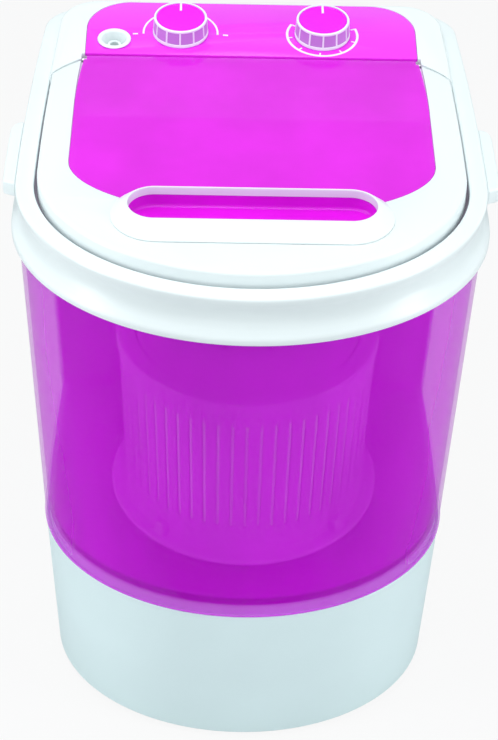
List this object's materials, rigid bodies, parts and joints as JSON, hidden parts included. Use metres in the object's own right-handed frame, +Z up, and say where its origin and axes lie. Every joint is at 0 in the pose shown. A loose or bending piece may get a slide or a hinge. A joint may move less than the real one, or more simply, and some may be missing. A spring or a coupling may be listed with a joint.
{
  "type": "top load washing machine",
  "caption": "Portable top load washer with a see-through tapered tub, lift-out spin basket, hinged lid with sunk grip, dial console and side carry handles.",
  "frame": {"origin": "middle of the overall box, on the floor", "axes": "+Z up, front (finger grip side of the lid) towards -Y, +X to the viewer's right when facing the front"},
  "size_m": [0.359, 0.391, 0.4808],
  "materials": {
    "white_plastic": "glossy moulded white plastic",
    "magenta_clear": "see-through magenta plastic, polished",
    "magenta_panel": "glossy magenta panel with white printed arcs",
    "basket_plastic": "satin pale plastic",
    "knob_pink": "glossy pink insert with a white pointer",
    "steel": "zinc plated steel",
    "alloy": "die cast alloy",
    "dark_plastic": "black moulded plastic",
    "black_rubber": "black rubber",
    "motor_paint": "grey painted steel can"
  },
  "bodies": {
    "cabinet": {"base_housing": "white_plastic", "bearing_housing": "alloy", "bottom_cover": "white_plastic", "capacitor": "white_plastic", "carry_handle_left": "white_plastic", "carry_handle_right": "white_plastic", "console_housing": "white_plastic", "control_fascia": "magenta_panel", "cord_gland": "dark_plastic", "cover_screw_1": "steel", "cover_screw_2": "steel", "cover_screw_3": "steel", "cover_screw_4": "steel", "drain_elbow": "black_rubber", "drain_outlet": "white_plastic", "drive_belt": "black_rubber", "filter_cover": "magenta_clear", "foot_front_left": "black_rubber", "foot_front_right": "black_rubber", "foot_rear_left": "black_rubber", "foot_rear_right": "black_rubber", "function_switch": "dark_plastic", "hinge_pin_left": "steel", "hinge_pin_right": "steel", "inlet_spout": "white_plastic", "lower_bearing": "steel", "motor_body": "motor_paint", "motor_bracket": "steel", "outer_tub": "magenta_clear", "rear_cover": "white_plastic", "rear_cover_screw_1": "steel", "rear_cover_screw_2": "steel", "rear_cover_screw_3": "steel", "rear_cover_screw_4": "steel", "shaft_seal": "black_rubber", "top_collar": "white_plastic", "upper_bearing": "steel", "wall_plug_left": "dark_plastic", "wall_plug_right": "dark_plastic", "wash_timer": "dark_plastic", "water_inlet_port": "white_plastic", "wiring_harness": "black_rubber"},
    "lid": {"lid_frame": "white_plastic", "lid_window": "magenta_clear", "lid_handle": "white_plastic"},
    "selector_dial": {"selector_knob": "white_plastic", "selector_knob_cap": "knob_pink", "selector_spindle": "steel"},
    "timer_dial": {"timer_knob": "white_plastic", "timer_knob_cap": "knob_pink", "timer_spindle": "steel"},
    "drive": {"drive_shaft": "steel", "large_pulley": "alloy", "pulley_nut": "steel", "wash_pulsator": "white_plastic"},
    "rotor": {"motor_shaft": "steel", "motor_pulley": "alloy"},
    "basket": {"spin_basket": "basket_plastic"},
    "basket_cap": {"basket_lid": "basket_plastic"}
  },
  "joints": [
    {"name": "lid_hinge", "type": "hinge", "parent": "cabinet", "child": "lid", "pos_m": [0, 0.101, 0.4585], "axis": [-1, 0, 0], "range_deg": [0, 95]},
    {"name": "selector_turn", "type": "hinge", "parent": "cabinet", "child": "selector_dial", "pos_m": [-0.055, 0.13441, 0.46427], "axis": [0, -0.0785, 0.9969], "range_deg": [-60, 60]},
    {"name": "timer_turn", "type": "hinge", "parent": "cabinet", "child": "timer_dial", "pos_m": [0.055, 0.13441, 0.46427], "axis": [0, -0.0785, 0.9969], "range_deg": [-300, 0]},
    {"name": "drive_spin", "type": "hinge", "parent": "cabinet", "child": "drive", "pos_m": [0, -0.0445, 0.1], "axis": [0, 0, 1], "continuous": true},
    {"name": "motor_spin", "type": "hinge", "parent": "cabinet", "child": "rotor", "pos_m": [0, 0.0725, 0.08], "axis": [0, 0, 1], "continuous": true},
    {"name": "basket_lift", "type": "slide", "parent": "drive", "child": "basket", "axis": [0, 0, 1], "range_m": [0, 0.07]},
    {"name": "basket_lid_lift", "type": "slide", "parent": "basket", "child": "basket_cap", "axis": [0, 0, 1], "range_m": [0, 0.045]}
  ],
  "couplings": [
    {"joint": "motor_spin", "follows": "drive_spin", "ratio": 3.561}
  ]
}
